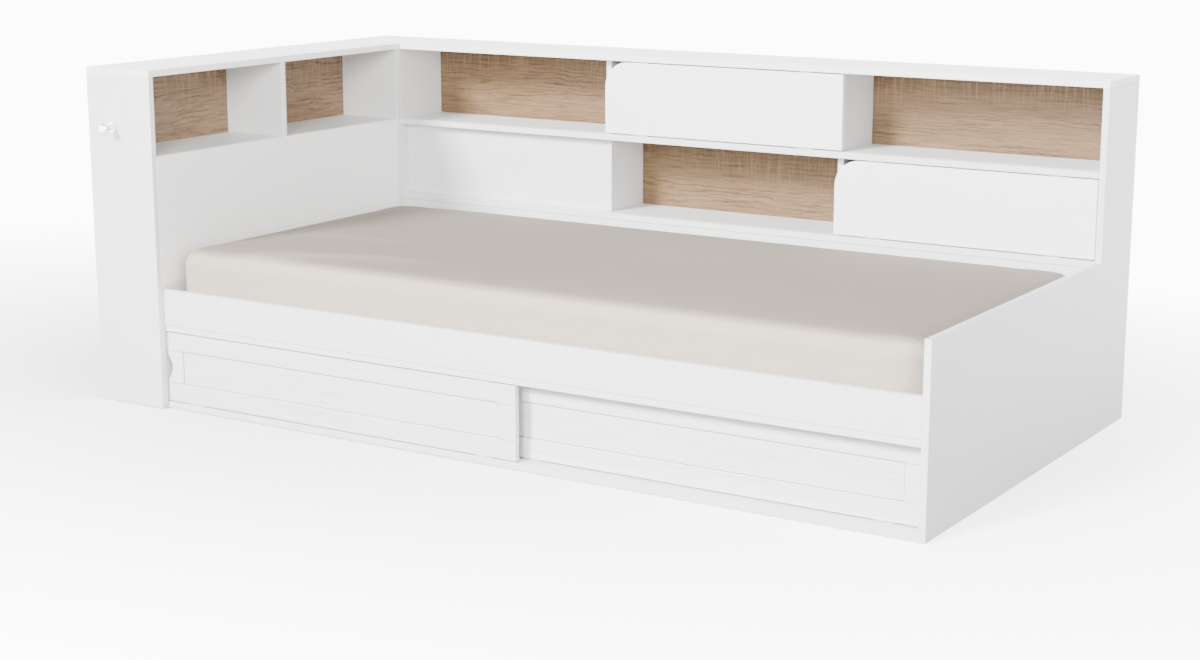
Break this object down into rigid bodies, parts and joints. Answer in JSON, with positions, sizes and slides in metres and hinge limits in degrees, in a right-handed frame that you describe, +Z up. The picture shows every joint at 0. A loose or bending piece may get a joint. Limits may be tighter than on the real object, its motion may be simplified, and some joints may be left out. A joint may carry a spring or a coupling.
{
  "type": "storage bed",
  "caption": "Corner storage bed: mattress on slats, open shelf units along back and head, sliding shelf doors, framed sliding doors below and a stepped foot panel.",
  "frame": {"origin": "on the floor under the middle of the overall box", "axes": "+X along the bed towards the foot, +Y from the front rail to the back unit, +Z up"},
  "size_m": [2.237, 1.221, 0.833],
  "materials": {
    "white_board": "matt white coated chipboard",
    "oak_decor": "sawn oak decor paper on thin fibreboard",
    "slat_pine": "planed unfinished pine",
    "glide_nylon": "plain nylon",
    "mattress_sheet": "smooth fitted sheet",
    "peg_metal": "satin"
  },
  "bodies": {
    "frame": {"back_bottom_shelf": "white_board", "back_decor_sheet": "oak_decor", "back_left_side": "white_board", "back_lower_panel": "white_board", "back_mid_shelf": "white_board", "back_top_board": "white_board", "bottom_track_board": "white_board", "center_partition": "white_board", "coat_peg": "peg_metal", "corner_back_sheet": "oak_decor", "corner_infill_panel": "white_board", "corner_side_panel": "white_board", "foot_panel": "white_board", "front_batten": "slat_pine", "front_rail": "white_board", "head_decor_sheet": "oak_decor", "head_divider": "white_board", "head_front_panel": "white_board", "head_lower_panel": "white_board", "head_rear_panel": "white_board", "head_shelf": "white_board", "head_top_board": "white_board", "headboard_panel": "white_board", "lower_left_divider": "white_board", "lower_right_divider": "white_board", "mattress": "mattress_sheet", "rear_batten": "slat_pine", "slat_01": "slat_pine", "slat_02": "slat_pine", "slat_03": "slat_pine", "slat_04": "slat_pine", "slat_05": "slat_pine", "slat_06": "slat_pine", "slat_07": "slat_pine", "slat_08": "slat_pine", "slat_09": "slat_pine", "slat_10": "slat_pine", "slat_11": "slat_pine", "slat_12": "slat_pine", "slat_13": "slat_pine", "top_track_board": "white_board", "upper_left_divider": "white_board", "upper_right_divider": "white_board"},
    "upper_door": {"upper_sliding_door": "white_board", "upper_sliding_door_glides": "glide_nylon"},
    "lower_door": {"lower_sliding_door": "white_board", "lower_sliding_door_glides": "glide_nylon"},
    "left_door": {"left_base_door": "white_board", "left_base_door_glides": "glide_nylon"},
    "right_door": {"right_base_door": "white_board", "right_base_door_glides": "glide_nylon"}
  },
  "joints": [
    {"name": "upper_door_slide", "type": "slide", "parent": "frame", "child": "upper_door", "axis": [1, 0, 0], "range_m": [-0.6689, 0.6529]},
    {"name": "lower_door_slide", "type": "slide", "parent": "frame", "child": "lower_door", "axis": [1, 0, 0], "range_m": [-1.338, 0]},
    {"name": "left_door_slide", "type": "slide", "parent": "frame", "child": "left_door", "axis": [1, 0, 0], "range_m": [0, 0.966]},
    {"name": "right_door_slide", "type": "slide", "parent": "frame", "child": "right_door", "axis": [1, 0, 0], "range_m": [-0.966, 0]}
  ]
}
